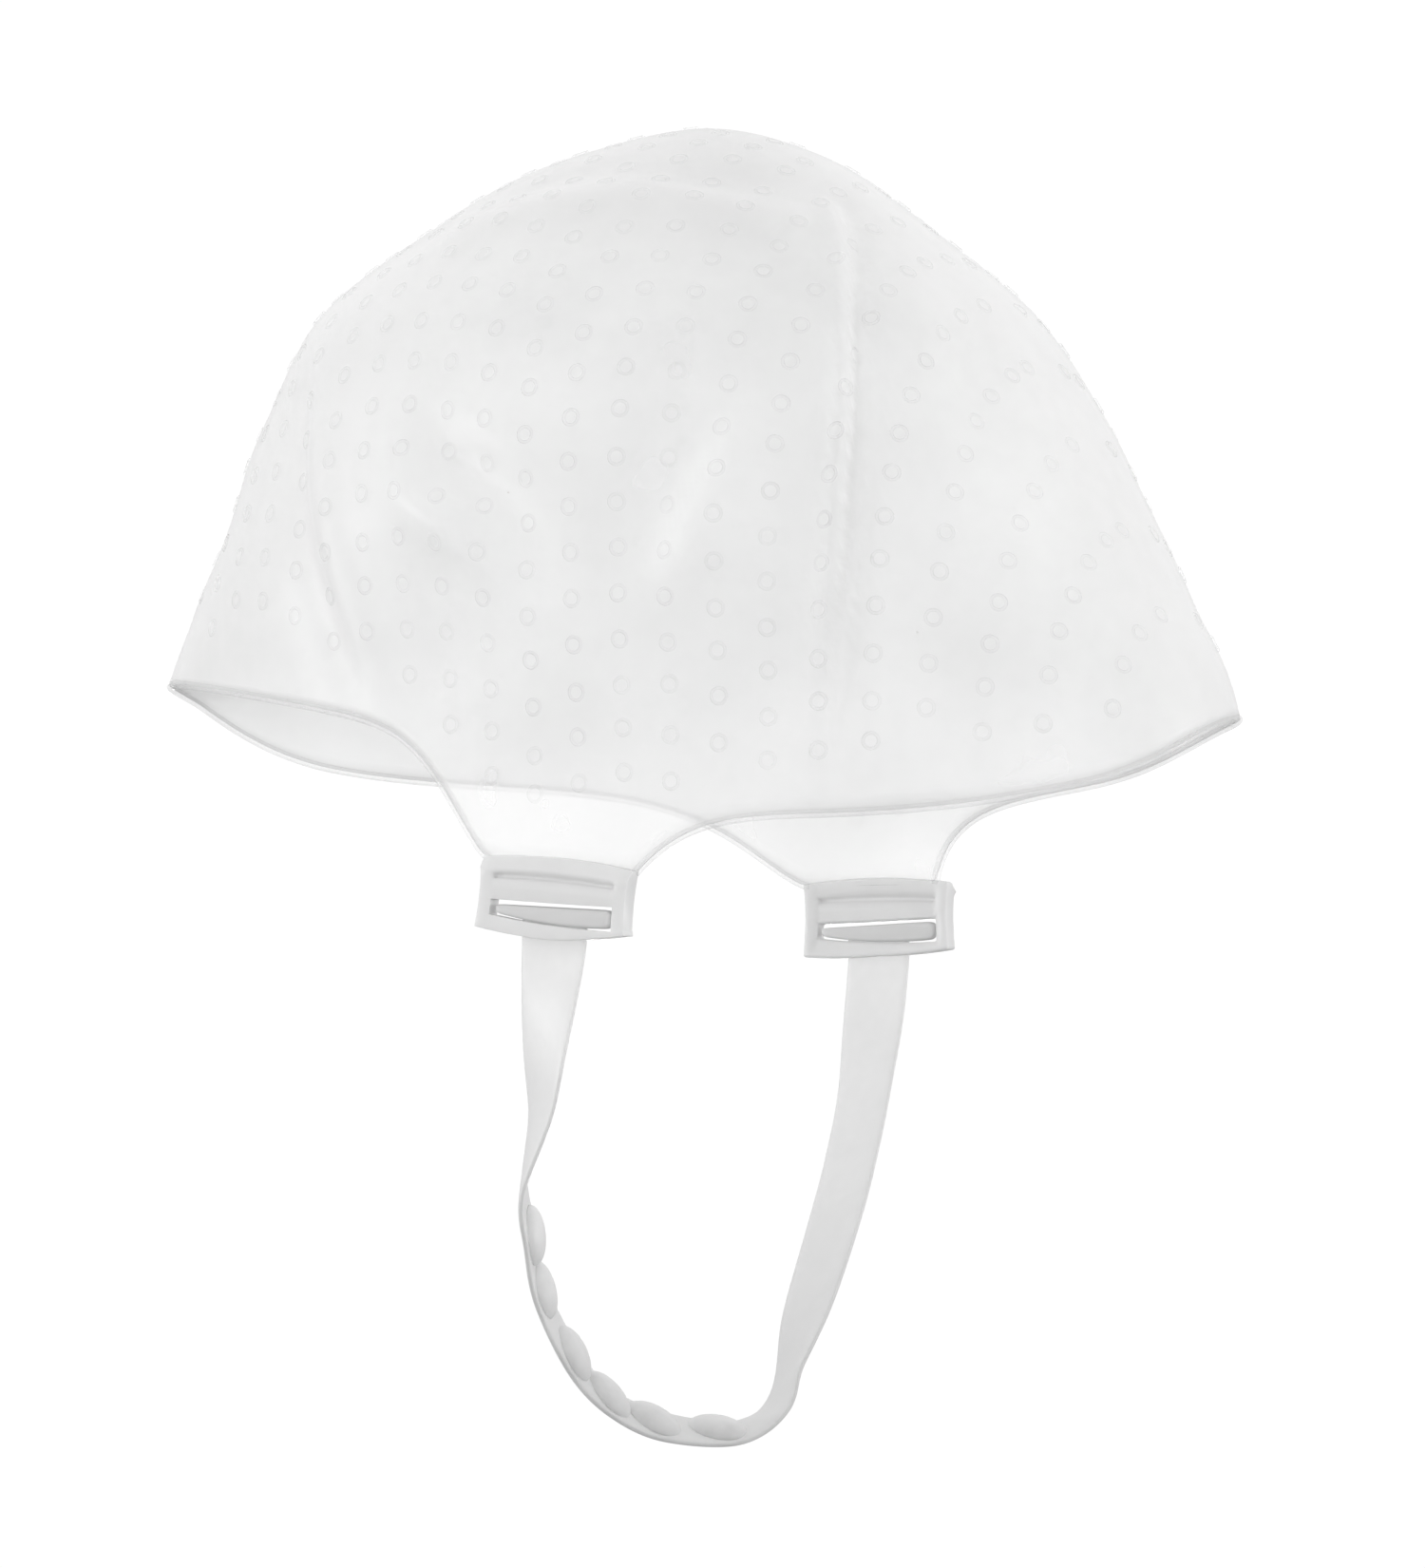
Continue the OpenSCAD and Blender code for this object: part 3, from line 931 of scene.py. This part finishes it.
@dataclass
class Studio:
    """A bright white studio: pale floor, four gridded softboxes all round and a long lens."""

    azimuth: float = math.radians(30)
    elevation: float = math.radians(-2.5)
    distance: float = 2.3
    aim: tuple[float, float, float] = (2.2 * MM, 1.3 * MM, -11.7 * MM)
    lens: float = 252.4
    floor_z: float = -0.21
    white: float = 1.03
    # What the floor sends up to light the cap and the strap from below
    glow: float = 0.42
    floor_size: float = 8.0
    # Light that the room sends: its strength below one direction's Z and above another's
    room_z: tuple[float, float] = (-0.6, 0.8)
    room_strength: tuple[float, float] = (0.32, 0.95)
    # The softboxes' places round the cap, in degrees
    box_azimuths: Sequence[int] = (30, 120, 210, 300)
    # The softboxes' distance, width, height, height above the origin, beam angle and power
    box_away: float = 1.0
    box_wide: float = 0.55
    box_high: float = 0.40
    box_z: float = 0.075
    box_beam: float = math.radians(9)
    box_watts: float = 0.2

    def build(self) -> None:
        """Sets up the camera, the room and the lights."""
        self._camera()
        self._world()
        self._floor()
        for azimuth in self.box_azimuths:
            self._softbox(f"gridded softbox {azimuth}", math.radians(azimuth))
        scene = bpy.context.scene
        scene.view_settings.view_transform = "Standard"
        scene.cycles.transparent_max_bounces = 32

    def _camera(self) -> None:
        """Places the camera a little below the rim, on the nape side of the wearer's left."""
        back = Vector((math.sin(self.azimuth) * math.cos(self.elevation),
                       -math.cos(self.azimuth) * math.cos(self.elevation), math.sin(self.elevation)))
        data = bpy.data.cameras.new("camera")
        data.lens = self.lens
        data.clip_start, data.clip_end = 0.05, 50
        camera = bpy.data.objects.new("camera", data)
        camera.location = Vector(self.aim) + back * self.distance
        camera.rotation_mode = "QUATERNION"
        camera.rotation_quaternion = (-back).to_track_quat("-Z", "Y")
        bpy.context.scene.collection.objects.link(camera)
        bpy.context.scene.camera = camera

    def _world(self) -> None:
        """A white room: pure white where it is looked at, dimmer below than above where it lights."""
        world = bpy.data.worlds.new("white room")
        bpy.context.scene.world = world
        world.use_nodes = True
        tree = world.node_tree
        tree.nodes.clear()
        way = add(tree, "TexCoord").outputs["Generated"]
        height = add(tree, "SeparateXYZ", {0: way})
        (low, high), (dim, bright) = self.room_z, self.room_strength
        level = add(tree, "MapRange", {"Value": height.outputs["Z"], "From Min": low, "From Max": high,
                                       "To Min": dim, "To Max": bright})
        room = add(tree, "Background", {"Color": (1, 1, 1, 1), "Strength": level.outputs[0]})
        seen = add(tree, "Background", {"Color": (1, 1, 1, 1), "Strength": self.white})
        ray = add(tree, "LightPath")
        mixed = add(tree, "MixShader", {0: ray.outputs["Is Camera Ray"], 1: room.outputs[0],
                                        2: seen.outputs[0]})
        add(tree, "OutputWorld", {"Surface": mixed.outputs[0]})

    def _floor(self) -> None:
        """A plain pale floor, lit so brightly that it reads as white."""
        bm = bmesh.new()
        bmesh.ops.create_grid(bm, x_segments=1, y_segments=1, size=self.floor_size,
                              matrix=Matrix.Translation((0, 0, self.floor_z)))
        mesh = bpy.data.meshes.new("floor")
        bm.to_mesh(mesh)
        bm.free()
        material = bpy.data.materials.new("pale studio floor")
        material.use_nodes = True
        tree = material.node_tree
        tree.nodes.clear()
        sent = add(tree, "Emission", {"Color": (1, 1, 1, 1), "Strength": self.glow})
        seen = add(tree, "Emission", {"Color": (1, 1, 1, 1), "Strength": self.white})
        ray = add(tree, "LightPath")
        mixed = add(tree, "MixShader", {0: ray.outputs["Is Camera Ray"], 1: sent.outputs[0],
                                        2: seen.outputs[0]})
        add(tree, "OutputMaterial", {"Surface": mixed.outputs[0]})
        mesh.materials.append(material)
        floor = bpy.data.objects.new("floor", mesh)
        bpy.context.scene.collection.objects.link(floor)

    def _softbox(self, name: str, azimuth: float) -> None:
        """Adds a level softbox whose grid keeps its light off the strap's lower end.

        Args:
            name: its name.
            azimuth: where it stands round the cap, by the same angle as the camera.
        """
        data = bpy.data.lights.new(name, "AREA")
        data.shape = "RECTANGLE"
        data.size, data.size_y = self.box_wide, self.box_high
        data.spread = self.box_beam
        data.energy = self.box_watts
        light = bpy.data.objects.new(name, data)
        out = Vector((math.sin(azimuth), -math.cos(azimuth), 0))
        light.location = out * self.box_away + Vector((0, 0, self.box_z))
        light.rotation_mode = "QUATERNION"
        light.rotation_quaternion = (-out).to_track_quat("-Z", "Y")
        light.visible_camera = False
        bpy.context.scene.collection.objects.link(light)


def main() -> None:
    """Builds the studio, then every piece of the cap and its strap."""
    logging.basicConfig(level=logging.INFO, format="%(name)s: %(message)s")
    Studio().build()
    bell = Bell()
    CapShell(bell).build()
    RimBeads(bell).build()
    PullThroughRings(bell).build()
    for side in Side:
        buckle = Buckle(side)
        buckle.build()
        StrapBar(buckle).build()
    ChinStrap().build()


if __name__ == "__main__":
    main()
